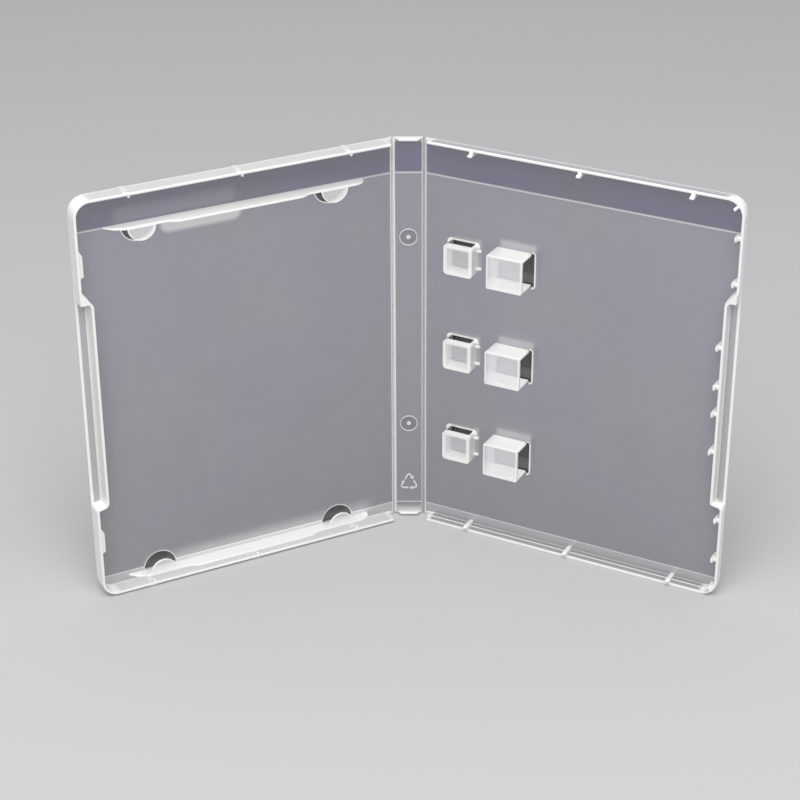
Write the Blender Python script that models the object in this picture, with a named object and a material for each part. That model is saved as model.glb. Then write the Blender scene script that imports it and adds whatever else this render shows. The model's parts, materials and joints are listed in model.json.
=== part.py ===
"""Clear moulded storage case for small plug-in sticks, standing open on its lower edge.

A front cover, a spine and a back tray are linked by two living hinges. The cover carries two booklet
clips, the tray carries six stick pockets, and a clear film is welded over the outer skins.
Units are metres. The case stands on z = 0 on the lip of its tray, whose outer skin faces +Y, and the
origin is in the middle of that lip. The spine turns on the tray and the cover turns on the spine.
"""

import math

import bmesh
import bpy
from mathutils import Matrix, Vector

# General sizes of the moulding
OPEN_TURN = math.radians(27.4)
PANEL_HEIGHT = 0.1703
PANEL_LENGTH = 0.1338
PANEL_THICKNESS = 0.001
WALL_THICKNESS = 0.0011
CORNER_RADIUS = 0.0065
HINGE_SPACING = 0.0127
HINGE_DEPTH = 0.00055
HINGE_GROOVE_HALF = 0.0008
TOUCH_GAP = 0.0003
CUT_OVERRUN = 0.001
JOIN_OVERLAP = 0.0004
ARC_STEPS = 8
ROUND_STEPS = 32

# Tray rim, its outer lip carries the weight of the case
TRAY_RIM_HEIGHT = 0.006
TRAY_LIP_START = 0.0032
TRAY_LIP_OUT = 0.0006

# Cover rim
COVER_RIM_HEIGHT = 0.0076

# Both rims start a little way from the hinge and are cut to a slant there
RIM_START_BASE = 0.0023
RIM_START_EDGE = 0.0039

# Thumb recess in both fore-edge walls, its two feet from the lower and the upper edge. The wall steps in
# over a short run at the lower end and a long one at the upper end, where a wedge fills the slope.
RECESS_DEPTH = 0.0043
RECESS_RISE = 0.0406
RECESS_DROP = 0.0367
RECESS_LOW_RUN = 0.0009
RECESS_HIGH_RUN = 0.0062
RECESS_WEDGE_RAISE = 0.0013

# Spine end walls fill the gap between the slanted rim ends when the case is closed
SPINE_WALL_THICKNESS = 0.001
SPINE_WALL_HEIGHT = 0.0031
SPINE_WALL_BASE_HALF = 0.0053
SPINE_WALL_EDGE_HALF = 0.0036

# Round gate marks and the plain triangle on the spine
GATE_RADIUS = 0.0037
GATE_RIM = 0.0004
GATE_CENTRE_RADIUS = 0.0009
GATE_FLOOR = 0.0002
GATE_RISE = 0.0002
GATE_LOWER_RISE = 0.0433
GATE_UPPER_DROP = 0.0424
TRIANGLE_RADIUS = 0.0045
TRIANGLE_LINE = 0.0008
TRIANGLE_RAISE = 0.0002
TRIANGLE_RISE = 0.0144

# Locating nubs of the tray and matching ribs of the cover
NUB_WIDTH = 0.0018
NUB_REACH = 0.008
NUB_PROUD = 0.0012
NUB_FROM_HINGE = 0.0229
NUB_FROM_FORE_EDGE = 0.0199
NUB_COUNT = 3
FORE_NUB_LOWEST_RISE = 0.0169
FORE_NUB_LOWER_RISE = 0.0349
FORE_NUB_UPPER_DROP = 0.0333
FORE_NUB_HIGHEST_DROP = 0.0148
RECESS_NUB_SPREAD = 0.0449
RECESS_NUB_PAIR = 0.0117
RECESS_NUB_RAISE = 0.0021
RIB_WIDTH = 0.0026
RIB_PROUD = 0.00035
RIB_SHIFT = 0.0012
RIB_END_CLEARANCE = 0.0004

# Booklet clips of the cover
CLIP_THICKNESS = 0.0009
CLIP_FROM_HINGE = 0.0133
CLIP_FROM_FORE_EDGE = 0.0128
CLIP_NEAR_TAPER = 0.0045
CLIP_FAR_TAPER = 0.0075
CLIP_LOW_REACH = 0.0057
CLIP_HIGH_REACH = 0.0075
CLIP_BLEND_LENGTH = 0.0045
CLIP_BLEND_FROM_END = 0.0242
CLIP_UPPER_DROP = 0.0144
CLIP_LOWER_RISE = 0.004
TAB_FROM_CLIP_END = 0.01405
TAB_RADIUS = 0.0057
TAB_THICKNESS = 0.0009
TAB_HOLE_CLEARANCE = 0.0011

# Catches on the fore-edge wall of the cover
CATCH_LENGTH = 0.0122
CATCH_PROUD = 0.0011
CATCH_RAMP = 0.003
CATCH_REACH_LOW = 0.0052
CATCH_REACH_HIGH = 0.0072
CATCH_LOWER_RISE = 0.0262
CATCH_UPPER_DROP = 0.0248

# Stick pockets of the tray, in three rows, the middle one a little below half height
POCKET_PITCH = 0.0421
POCKET_LOWERED = 0.00425
SMALL_START = 0.0115
SMALL_WIDTH = 0.0126
SMALL_HEIGHT = 0.0129
SMALL_REACH = 0.0065
SMALL_WALL = 0.0012
SMALL_CORNER = 0.0015
SMALL_LIP_HEIGHT = 0.0014
SMALL_LIP_DEPTH = 0.0006
SMALL_FOOT_LENGTH = 0.0012
SMALL_FOOT_WIDTH = 0.0011
SMALL_FOOT_REACH = 0.0011
SMALL_FOOT_OFFSET = 0.0038
POCKET_SPACE = 0.0078
LARGE_WIDTH = 0.0155
LARGE_HEIGHT = 0.0146
LARGE_REACH = 0.010
LARGE_WALL = 0.0012
LARGE_CORNER = 0.0008
LARGE_HOLE_EXTRA = 0.0013
LARGE_HOLE_CORNER = 0.0008

# Clear film over the outer skins
FILM_THICKNESS = 0.00015
FILM_TOP_DROP = 0.0147
FILM_EDGE = 0.0012
FILM_CORNER = 0.005

# Heights and depths that follow from the sizes above
LOW = TRAY_LIP_OUT
HIGH = LOW + PANEL_HEIGHT
MIDDLE = (LOW + HIGH) / 2
SEAT = PANEL_THICKNESS + TOUCH_GAP
SMALL_END = SMALL_START + SMALL_WIDTH
LARGE_START = SMALL_END + POCKET_SPACE
LARGE_END = LARGE_START + LARGE_WIDTH
CLIP_START = CLIP_FROM_HINGE
CLIP_END = PANEL_LENGTH - CLIP_FROM_FORE_EDGE
TAB_HOLE_RADIUS = TAB_RADIUS + TAB_HOLE_CLEARANCE

for item in list(bpy.data.objects):
    bpy.data.objects.remove(item, do_unlink=True)

case = bpy.data.collections.new("storage_case")
cutters = bpy.data.collections.new("storage_case_cutters")
bpy.context.scene.collection.children.link(case)
bpy.context.scene.collection.children.link(cutters)


def material(name, colour, roughness):
    made = bpy.data.materials.new(name)
    made.use_nodes = True
    shader = made.node_tree.nodes["Principled BSDF"]
    shader.inputs["Base Color"].default_value = (*colour, 1.0)
    shader.inputs["Roughness"].default_value = roughness
    shader.inputs["Metallic"].default_value = 0.0
    made.diffuse_color = (*colour, 1.0)
    return made


def axis_empty(name, parent, location, turn):
    empty = bpy.data.objects.new(name, None)
    case.objects.link(empty)
    empty.parent = parent
    empty.location = location
    empty.rotation_euler = (0, 0, turn)
    return empty


def arc(centre, radius, start, end, steps=ARC_STEPS):
    """Points of an arc, angles in quarter turns."""
    points = []
    for step in range(steps + 1):
        angle = math.pi / 2 * (start + (end - start) * step / steps)
        points.append((centre[0] + radius * math.cos(angle), centre[1] + radius * math.sin(angle)))
    return points


def rounded(low_u, high_u, low_v, high_v, radius):
    """Rounded rectangle outline."""
    points = []
    points += arc((high_u - radius, low_v + radius), radius, -1, 0)
    points += arc((high_u - radius, high_v - radius), radius, 0, 1)
    points += arc((low_u + radius, high_v - radius), radius, 1, 2)
    points += arc((low_u + radius, low_v + radius), radius, 2, 3)
    return points


def rectangle(low_u, high_u, low_v, high_v):
    return [(low_u, low_v), (high_u, low_v), (high_u, high_v), (low_u, high_v)]


def prism(name, outlines, low, high):
    """Filled flat curve given a thickness from low to high along its own third axis."""
    curve = bpy.data.curves.new(name + "_outline", "CURVE")
    curve.dimensions = "2D"
    curve.fill_mode = "BOTH"
    curve.extrude = (high - low) / 2
    for outline in outlines:
        spline = curve.splines.new("POLY")
        spline.points.add(len(outline) - 1)
        for point, (u, v) in zip(spline.points, outline):
            point.co = (u, v, 0, 1)
        spline.use_cyclic_u = True
    holder = bpy.data.objects.new(name + "_outline", curve)
    bpy.context.scene.collection.objects.link(holder)
    graph = bpy.context.evaluated_depsgraph_get()
    mesh = bpy.data.meshes.new_from_object(holder.evaluated_get(graph), depsgraph=graph)
    bpy.data.objects.remove(holder, do_unlink=True)
    bpy.data.curves.remove(curve)
    mesh.transform(Matrix.Translation((0, 0, (high + low) / 2)))
    mesh.name = name
    return mesh


def clean(mesh):
    work = bmesh.new()
    work.from_mesh(mesh)
    bmesh.ops.remove_doubles(work, verts=work.verts, dist=TOUCH_GAP / 100)
    bmesh.ops.recalc_face_normals(work, faces=work.faces)
    work.to_mesh(mesh)
    work.free()
    return mesh


def remap(mesh, rule):
    for vertex in mesh.vertices:
        vertex.co = Vector(rule(*vertex.co))
    return clean(mesh)


class Half:
    """Placing rules of one half: s runs away from the hinge, n inward from the outer skin, z up."""

    def __init__(self, side):
        self.side = side

    def place(self, s, n, z):
        return (self.side * s, HINGE_DEPTH - n, z)

    def from_face(self, name, outlines, low_n, high_n):
        """Outline in s and z, thickness along n."""
        return remap(prism(name, outlines, low_n, high_n), lambda u, v, w: self.place(u, w, v))

    def from_edge(self, name, outlines, low_z, high_z):
        """Outline in s and n, thickness along z."""
        return remap(prism(name, outlines, low_z, high_z), lambda u, v, w: self.place(u, v, w))

    def from_wall(self, name, outline, width, foot, inward):
        """Outline in n and inward distance, set across a wall at foot, a point in s and z."""
        across = (-inward[1], inward[0])

        def rule(u, v, w):
            s = foot[0] + inward[0] * v + across[0] * w
            z = foot[1] + inward[1] * v + across[1] * w
            return self.place(s, u, z)

        return remap(prism(name, [outline], -width / 2, width / 2), rule)


class Spine:
    """Placing rules of the spine: x across from its middle, n inward from the outer skin, z up."""

    def place(self, x, n, z):
        return (x - HINGE_SPACING / 2, HINGE_DEPTH - n, z)

    def from_face(self, name, outlines, low_n, high_n):
        return remap(prism(name, outlines, low_n, high_n), lambda u, v, w: self.place(u, w, v))

    def from_edge(self, name, outlines, low_z, high_z):
        return remap(prism(name, outlines, low_z, high_z), lambda u, v, w: self.place(u, v, w))


def merged(name, meshes):
    """One mesh from several separate ones, used as a single Boolean operand."""
    work = bmesh.new()
    for mesh in meshes:
        work.from_mesh(mesh)
    joined = bpy.data.meshes.new(name)
    work.to_mesh(joined)
    work.free()
    return joined


def put(name, mesh, parent, look):
    piece = bpy.data.objects.new(name, mesh)
    case.objects.link(piece)
    piece.parent = parent
    mesh.materials.clear()
    mesh.materials.append(look)
    return piece


def combine(piece, mesh, operation, label):
    cutter = bpy.data.objects.new(piece.name + "_" + label, mesh)
    cutters.objects.link(cutter)
    cutter.parent = piece.parent
    cutter.hide_render = True
    cutter.display_type = "WIRE"
    change = piece.modifiers.new(label, "BOOLEAN")
    change.operation = operation
    change.solver = "EXACT"
    change.object = cutter


def round_shaded(mesh):
    for face in mesh.polygons:
        face.use_smooth = True


# Panel outline shared by both halves, with square corners at the hinge and round ones outside
def panel_outline():
    points = [(HINGE_GROOVE_HALF, LOW)]
    points += arc((PANEL_LENGTH - CORNER_RADIUS, LOW + CORNER_RADIUS), CORNER_RADIUS, -1, 0)
    points += arc((PANEL_LENGTH - CORNER_RADIUS, HIGH - CORNER_RADIUS), CORNER_RADIUS, 0, 1)
    points.append((HINGE_GROOVE_HALF, HIGH))
    return points


# Line of the rim wall at a distance inward from the panel edge, with the thumb recess
def rim_line(inset, start):
    radius = CORNER_RADIUS - inset
    edge = PANEL_LENGTH - inset
    low_foot = LOW + RECESS_RISE - inset * math.tan(math.atan2(RECESS_DEPTH, RECESS_LOW_RUN) / 2)
    high_foot = HIGH - RECESS_DROP + inset * math.tan(math.atan2(RECESS_DEPTH, RECESS_HIGH_RUN) / 2)
    points = [(start, LOW + inset)]
    points += arc((PANEL_LENGTH - CORNER_RADIUS, LOW + CORNER_RADIUS), radius, -1, 0)
    points.append((edge, low_foot))
    points.append((edge - RECESS_DEPTH, low_foot + RECESS_LOW_RUN))
    points.append((edge - RECESS_DEPTH, high_foot - RECESS_HIGH_RUN))
    points.append((edge, high_foot))
    points += arc((PANEL_LENGTH - CORNER_RADIUS, HIGH - CORNER_RADIUS), radius, 0, 1)
    points.append((start, HIGH - inset))
    return points


# Rim swept along that line, its section given as distances inward and depths
def swept_rim(half, name, section):
    work = bmesh.new()
    chains = []
    for inset, depth in section:
        line = [work.verts.new(half.place(s, depth, z)) for s, z in rim_line(inset, RIM_START_BASE)]
        chains.append([work.edges.new(pair) for pair in zip(line, line[1:])])
    for near, far in zip(chains, chains[1:] + chains[:1]):
        bmesh.ops.bridge_loops(work, edges=near + far)
    bmesh.ops.holes_fill(work, edges=work.edges[:])
    mesh = bpy.data.meshes.new(name)
    work.to_mesh(mesh)
    work.free()
    return clean(mesh)


# Wedge behind the long slope of the recess, just inside the line of the wall
def recess_wedge(half, name, height):
    slope = RECESS_DEPTH / RECESS_HIGH_RUN
    foot = HIGH - RECESS_DROP
    edge = PANEL_LENGTH - JOIN_OVERLAP / 2
    low = foot - RECESS_HIGH_RUN + RECESS_WEDGE_RAISE
    near = PANEL_LENGTH - RECESS_DEPTH + slope * RECESS_WEDGE_RAISE - JOIN_OVERLAP
    outline = [(near, low), (edge, low), (edge, foot)]
    return half.from_face(name, [outline], PANEL_THICKNESS - JOIN_OVERLAP, height - JOIN_OVERLAP / 2)


# Holes through a panel, one cutter for all of them
def cut_holes(shell, half, outlines):
    cuts = [half.from_face("hole", [outline], -CUT_OVERRUN, PANEL_THICKNESS + CUT_OVERRUN) for outline in outlines]
    combine(shell, merged(shell.name + "_holes", cuts), "DIFFERENCE", "holes")


# Wedge that cuts the hinge ends of a rim to a slant
def rim_slant(half, name, height):
    outline = [
        (RIM_START_BASE - CUT_OVERRUN, PANEL_THICKNESS),
        (RIM_START_BASE, PANEL_THICKNESS),
        (RIM_START_EDGE, height),
        (RIM_START_EDGE, height + CUT_OVERRUN),
        (RIM_START_BASE - CUT_OVERRUN, height + CUT_OVERRUN),
    ]
    return half.from_edge(name, [outline], -CUT_OVERRUN, HIGH + LOW + CUT_OVERRUN)


# Film section over an outer skin, from the lower edge up to below the header
def film_outline(start):
    low = LOW + FILM_EDGE
    high = HIGH - FILM_TOP_DROP
    edge = PANEL_LENGTH - FILM_EDGE
    points = [(start, low)]
    points += arc((edge - FILM_CORNER, low + FILM_CORNER), FILM_CORNER, -1, 0)
    points.append((edge, high))
    points.append((start, high))
    return points


FILM_START = HINGE_GROOVE_HALF + FILM_EDGE
FILM_INNER = -TOUCH_GAP
FILM_OUTER = FILM_INNER - FILM_THICKNESS

clear_shell = material("moulded_shell", (0.80, 0.81, 0.84), 0.30)
clear_web = material("hinge_web", (0.88, 0.88, 0.90), 0.35)
clear_clip = material("booklet_clip", (0.84, 0.84, 0.86), 0.32)
clear_pocket = material("stick_pocket", (0.86, 0.86, 0.87), 0.34)
clear_mark = material("moulding_mark", (0.82, 0.82, 0.85), 0.38)
clear_film = material("welded_film", (0.78, 0.79, 0.82), 0.12)

# Joint axes, upright, in the middle of the thickness of the moulding at the two hinge lines
lip_middle = (TRAY_LIP_START + TRAY_RIM_HEIGHT) / 2
straight_middle = (RIM_START_EDGE + PANEL_LENGTH - CORNER_RADIUS) / 2
tray_frame = axis_empty("tray_frame", None, (-straight_middle, lip_middle - HINGE_DEPTH, 0), 0)
spine_axis = axis_empty("tray_hinge_axis", tray_frame, (0, 0, 0), OPEN_TURN)
cover_axis = axis_empty("cover_hinge_axis", spine_axis, (-HINGE_SPACING, 0, 0), OPEN_TURN)
cover = Half(-1)
tray = Half(1)

# Spine
spine = Spine()
spine_half = HINGE_SPACING / 2 - HINGE_GROOVE_HALF
spine_panel = spine.from_face("spine_shell", [rectangle(-spine_half, spine_half, LOW, HIGH)], 0, PANEL_THICKNESS)
spine_shell = put("spine_shell", spine_panel, spine_axis, clear_shell)
wall_shape = [
    (-SPINE_WALL_BASE_HALF, PANEL_THICKNESS - JOIN_OVERLAP),
    (SPINE_WALL_BASE_HALF, PANEL_THICKNESS - JOIN_OVERLAP),
    (SPINE_WALL_EDGE_HALF, SPINE_WALL_HEIGHT),
    (-SPINE_WALL_EDGE_HALF, SPINE_WALL_HEIGHT),
]
end_walls = []
for base in (LOW, HIGH - SPINE_WALL_THICKNESS):
    end_walls.append(spine.from_edge("spine_end_wall", [wall_shape], base, base + SPINE_WALL_THICKNESS))
combine(spine_shell, merged("spine_end_walls", end_walls), "UNION", "end_walls")

# Turned gate marks, a low dish with a raised rim and centre
def gate_mark(name, height):
    profile = [
        (0, 0),
        (GATE_RADIUS, 0),
        (GATE_RADIUS, GATE_FLOOR + GATE_RISE),
        (GATE_RADIUS - GATE_RIM, GATE_FLOOR + GATE_RISE),
        (GATE_RADIUS - GATE_RIM, GATE_FLOOR),
        (GATE_CENTRE_RADIUS, GATE_FLOOR),
        (GATE_CENTRE_RADIUS, GATE_FLOOR + GATE_RISE),
        (0, GATE_FLOOR + GATE_RISE),
    ]
    work = bmesh.new()
    points = [work.verts.new((radius, 0, rise)) for radius, rise in profile]
    for first, second in zip(points, points[1:]):
        work.edges.new((first, second))
    bmesh.ops.spin(
        work,
        geom=list(work.verts) + list(work.edges),
        axis=(0, 0, 1),
        cent=(0, 0, 0),
        angle=2 * math.pi,
        steps=ROUND_STEPS,
        use_merge=True,
    )
    mesh = bpy.data.meshes.new(name)
    work.to_mesh(mesh)
    work.free()
    remap(mesh, lambda u, v, w: spine.place(u, SEAT + w, height + v))
    return put(name, mesh, spine_axis, clear_mark)


gate_mark("spine_gate_mark_lower", LOW + GATE_LOWER_RISE)
gate_mark("spine_gate_mark_upper", HIGH - GATE_UPPER_DROP)

# Plain triangle outline
def triangle(radius):
    corners = []
    for turn in range(3):
        angle = math.pi / 2 + turn * 2 * math.pi / 3
        corners.append((radius * math.cos(angle), LOW + TRIANGLE_RISE + radius * math.sin(angle)))
    return corners


triangle_mesh = spine.from_face(
    "spine_triangle_mark",
    [triangle(TRIANGLE_RADIUS), triangle(TRIANGLE_RADIUS - 2 * TRIANGLE_LINE)],
    SEAT,
    SEAT + TRIANGLE_RAISE,
)
put("spine_triangle_mark", triangle_mesh, spine_axis, clear_mark)

spine_film_shape = rectangle(-spine_half + FILM_EDGE, spine_half - FILM_EDGE, LOW + FILM_EDGE, HIGH - FILM_TOP_DROP)
spine_film = spine.from_face("spine_film", [spine_film_shape], FILM_OUTER, FILM_INNER)
put("spine_film", spine_film, spine_axis, clear_film)

# Living hinges, each a round bead on its own axis so that it stays clear in every position
WEB_RADIUS = HINGE_GROOVE_HALF - TOUCH_GAP
for name, parent in (("cover_hinge_web", cover_axis), ("tray_hinge_web", tray_frame)):
    web = clean(prism(name, [arc((0, 0), WEB_RADIUS, 0, 4 - 4 / ROUND_STEPS, ROUND_STEPS - 1)], LOW, HIGH))
    round_shaded(web)
    put(name, web, parent, clear_web)

# Cover shell: panel with four half-round clip holes, and its rim
upper_clip_face = HIGH - CLIP_UPPER_DROP
lower_clip_face = LOW + CLIP_LOWER_RISE
tab_positions = (CLIP_START + TAB_FROM_CLIP_END, CLIP_END - TAB_FROM_CLIP_END)


def tab_holes():
    holes = []
    for position in tab_positions:
        lower = arc((position, lower_clip_face), TAB_HOLE_RADIUS, 0, 2, 2 * ARC_STEPS)
        upper = arc((position, upper_clip_face - CLIP_THICKNESS), TAB_HOLE_RADIUS, 2, 4, 2 * ARC_STEPS)
        holes += [lower, upper]
    return holes


cover_panel = cover.from_face("cover_shell", [panel_outline()], 0, PANEL_THICKNESS)
cover_shell = put("cover_shell", cover_panel, cover_axis, clear_shell)
cut_holes(cover_shell, cover, tab_holes())
cover_section = [
    (0, PANEL_THICKNESS - JOIN_OVERLAP),
    (0, COVER_RIM_HEIGHT),
    (WALL_THICKNESS, COVER_RIM_HEIGHT),
    (WALL_THICKNESS, PANEL_THICKNESS - JOIN_OVERLAP),
]
combine(cover_shell, swept_rim(cover, "cover_rim", cover_section), "UNION", "rim")
combine(cover_shell, recess_wedge(cover, "cover_wedge", COVER_RIM_HEIGHT), "UNION", "wedge")

# Ribs across the upper and lower walls of the cover, proud on both faces
def nub_positions():
    step = (PANEL_LENGTH - NUB_FROM_FORE_EDGE - NUB_FROM_HINGE) / (NUB_COUNT - 1)
    return [NUB_FROM_HINGE + count * step for count in range(NUB_COUNT)]


rib_positions = [position - RIB_SHIFT for position in nub_positions()]
rib_inner_end = COVER_RIM_HEIGHT + TRAY_RIM_HEIGHT - NUB_REACH - RIB_END_CLEARANCE
outer_rib = rectangle(RIB_PROUD, COVER_RIM_HEIGHT - RIB_PROUD, -RIB_PROUD, WALL_THICKNESS / 2)
inner_rib = rectangle(PANEL_THICKNESS / 2, rib_inner_end, WALL_THICKNESS / 2, WALL_THICKNESS + RIB_PROUD)
ribs = []
for position in rib_positions:
    for foot, inward in (((position, LOW), (0, 1)), ((position, HIGH), (0, -1))):
        ribs.append(cover.from_wall("outer_rib", outer_rib, RIB_WIDTH, foot, inward))
outer_ribs = merged("outer_ribs", ribs)
combine(cover_shell, outer_ribs, "UNION", "outer_ribs")
ribs = []
for position in rib_positions:
    for foot, inward in (((position, LOW), (0, 1)), ((position, HIGH), (0, -1))):
        ribs.append(cover.from_wall("inner_rib", inner_rib, RIB_WIDTH, foot, inward))
combine(cover_shell, merged("inner_ribs", ribs), "UNION", "inner_ribs")
combine(cover_shell, rim_slant(cover, "cover_slant", COVER_RIM_HEIGHT), "DIFFERENCE", "slant")


# Booklet clips, a plate square to the panel with two half-round tabs at its free edge
def clip_outline():
    low = PANEL_THICKNESS + TOUCH_GAP
    points = [(CLIP_START, low)]
    points.append((CLIP_START + CLIP_NEAR_TAPER / 4, low + (CLIP_LOW_REACH - low) / 2))
    points.append((CLIP_START + CLIP_NEAR_TAPER, CLIP_LOW_REACH))
    rise_start = CLIP_START + CLIP_BLEND_FROM_END
    fall_start = CLIP_END - CLIP_BLEND_FROM_END - CLIP_BLEND_LENGTH
    for centre, start, end in ((rise_start, 0, 1), (fall_start, 1, 0)):
        for step in range(ARC_STEPS + 1):
            share = step / ARC_STEPS
            blend = share * share * (3 - 2 * share)
            level = blend if end > start else 1 - blend
            reach = CLIP_LOW_REACH + (CLIP_HIGH_REACH - CLIP_LOW_REACH) * level
            points.append((centre + CLIP_BLEND_LENGTH * share, reach))
    points.append((CLIP_END - CLIP_FAR_TAPER, CLIP_LOW_REACH))
    points.append((CLIP_END - CLIP_FAR_TAPER / 2, low + (CLIP_LOW_REACH - low) * 2 / 3))
    points.append((CLIP_END, low))
    return points


def booklet_clip(name, low_z, tab_edge, first, last):
    plate = cover.from_edge(name, [clip_outline()], low_z, low_z + CLIP_THICKNESS)
    clip = put(name, plate, cover_axis, clear_clip)
    tabs = []
    for position in tab_positions:
        shape = arc((position, tab_edge), TAB_RADIUS, first, last, 2 * ARC_STEPS)
        root = JOIN_OVERLAP if first else -JOIN_OVERLAP
        shape += [(shape[-1][0], tab_edge + root), (shape[0][0], tab_edge + root)]
        tabs.append(cover.from_face("tab", [shape], CLIP_LOW_REACH - TAB_THICKNESS, CLIP_LOW_REACH))
    combine(clip, merged(name + "_tabs", tabs), "UNION", "tabs")


booklet_clip("cover_lower_clip", lower_clip_face - CLIP_THICKNESS, lower_clip_face, 0, 2)
booklet_clip("cover_upper_clip", upper_clip_face - CLIP_THICKNESS, upper_clip_face - CLIP_THICKNESS, 2, 4)

# Catches, low ramps near the free edge of the fore-edge wall
for label, centre in (("lower", LOW + CATCH_LOWER_RISE), ("upper", HIGH - CATCH_UPPER_DROP)):
    near = WALL_THICKNESS + TOUCH_GAP
    outline = [
        (PANEL_LENGTH - near, centre - CATCH_LENGTH / 2),
        (PANEL_LENGTH - near, centre + CATCH_LENGTH / 2),
        (PANEL_LENGTH - near - CATCH_PROUD, centre + CATCH_LENGTH / 2 - CATCH_RAMP),
        (PANEL_LENGTH - near - CATCH_PROUD, centre - CATCH_LENGTH / 2 + CATCH_RAMP / 4),
    ]
    name = "cover_catch_" + label
    catch = cover.from_face(name, [outline], CATCH_REACH_LOW, CATCH_REACH_HIGH)
    put(name, catch, cover_axis, clear_clip)

cover_film = cover.from_face("cover_film", [film_outline(FILM_START)], FILM_OUTER, FILM_INNER)
put("cover_film", cover_film, cover_axis, clear_film)

# Tray shell: panel with the shut-off holes of the six pockets, and its rim with the outer lip
middle_row = MIDDLE - POCKET_LOWERED
pocket_rows = (
    ("lower", middle_row - POCKET_PITCH),
    ("middle", middle_row),
    ("upper", middle_row + POCKET_PITCH),
)


def pocket_holes():
    holes = []
    for label, centre in pocket_rows:
        low = centre - SMALL_HEIGHT / 2 + SMALL_WALL
        high = centre + SMALL_HEIGHT / 2
        holes.append(rectangle(SMALL_START + SMALL_WALL, SMALL_END - SMALL_WALL, low, high))
        low = centre - LARGE_HEIGHT / 2
        high = centre + LARGE_HEIGHT / 2
        slot_start = LARGE_END + TOUCH_GAP
        slot_end = LARGE_END + LARGE_HOLE_EXTRA
        inside = LARGE_WALL
        round_size = LARGE_HOLE_CORNER
        shape = [(LARGE_START + inside, low + inside), (slot_start, low + inside), (slot_start, low)]
        shape += arc((slot_end - round_size, low + round_size), round_size, -1, 0)
        shape += arc((slot_end - round_size, high - round_size), round_size, 0, 1)
        shape += [(slot_start, high), (slot_start, high - inside), (LARGE_START + inside, high - inside)]
        holes.append(shape)
    return holes


tray_panel = tray.from_face("tray_shell", [panel_outline()], 0, PANEL_THICKNESS)
tray_shell = put("tray_shell", tray_panel, tray_frame, clear_shell)
cut_holes(tray_shell, tray, pocket_holes())
tray_section = [
    (0, PANEL_THICKNESS - JOIN_OVERLAP),
    (0, TRAY_LIP_START),
    (-TRAY_LIP_OUT, TRAY_LIP_START),
    (-TRAY_LIP_OUT, TRAY_RIM_HEIGHT),
    (WALL_THICKNESS - TRAY_LIP_OUT, TRAY_RIM_HEIGHT),
    (WALL_THICKNESS - TRAY_LIP_OUT, TRAY_LIP_START + TRAY_LIP_OUT),
    (WALL_THICKNESS, TRAY_LIP_START + TRAY_LIP_OUT),
    (WALL_THICKNESS, PANEL_THICKNESS - JOIN_OVERLAP),
]
combine(tray_shell, swept_rim(tray, "tray_rim", tray_section), "UNION", "rim")
combine(tray_shell, recess_wedge(tray, "tray_wedge", TRAY_RIM_HEIGHT), "UNION", "wedge")
combine(tray_shell, rim_slant(tray, "tray_slant", TRAY_RIM_HEIGHT), "DIFFERENCE", "slant")

# Locating nubs: along the inner face of the wall, then on past its edge, clear of the cover wall
nub_clear = WALL_THICKNESS + TOUCH_GAP
nub_deep = nub_clear + NUB_PROUD
nub_past = NUB_REACH - TRAY_RIM_HEIGHT
nub_shape = [
    (PANEL_THICKNESS / 2, WALL_THICKNESS - JOIN_OVERLAP),
    (TRAY_LIP_START - JOIN_OVERLAP, WALL_THICKNESS - JOIN_OVERLAP),
    (TRAY_LIP_START + TRAY_LIP_OUT, WALL_THICKNESS - TRAY_LIP_OUT - JOIN_OVERLAP / 2),
    (TRAY_RIM_HEIGHT - JOIN_OVERLAP, WALL_THICKNESS - TRAY_LIP_OUT - JOIN_OVERLAP / 2),
    (TRAY_RIM_HEIGHT - JOIN_OVERLAP / 2, nub_clear),
    (NUB_REACH - nub_past / 4, nub_clear + NUB_PROUD / 6),
    (NUB_REACH, nub_clear + NUB_PROUD / 2),
    (NUB_REACH - nub_past / 4, nub_deep - NUB_PROUD / 6),
    (TRAY_RIM_HEIGHT, nub_deep),
    (PANEL_THICKNESS / 2, nub_deep),
]
nub_feet = []
for position in nub_positions():
    nub_feet.append(((position, LOW), (0, 1)))
    nub_feet.append(((position, HIGH), (0, -1)))
for rise in (FORE_NUB_LOWEST_RISE, FORE_NUB_LOWER_RISE):
    nub_feet.append(((PANEL_LENGTH, LOW + rise), (-1, 0)))
for drop in (FORE_NUB_UPPER_DROP, FORE_NUB_HIGHEST_DROP):
    nub_feet.append(((PANEL_LENGTH, HIGH - drop), (-1, 0)))
for offset in (-RECESS_NUB_SPREAD / 2, -RECESS_NUB_PAIR / 2, RECESS_NUB_PAIR / 2, RECESS_NUB_SPREAD / 2):
    height = MIDDLE + RECESS_NUB_RAISE + offset
    nub_feet.append(((PANEL_LENGTH - RECESS_DEPTH, height), (-1, 0)))
diagonal = math.sqrt(0.5)
corner_shift = CORNER_RADIUS * (1 - diagonal)
nub_feet.append(((PANEL_LENGTH - corner_shift, LOW + corner_shift), (-diagonal, diagonal)))
nub_feet.append(((PANEL_LENGTH - corner_shift, HIGH - corner_shift), (-diagonal, -diagonal)))
nubs = [tray.from_wall("nub", nub_shape, NUB_WIDTH, foot, inward) for foot, inward in nub_feet]
combine(tray_shell, merged("tray_nubs", nubs), "UNION", "nubs")


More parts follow.
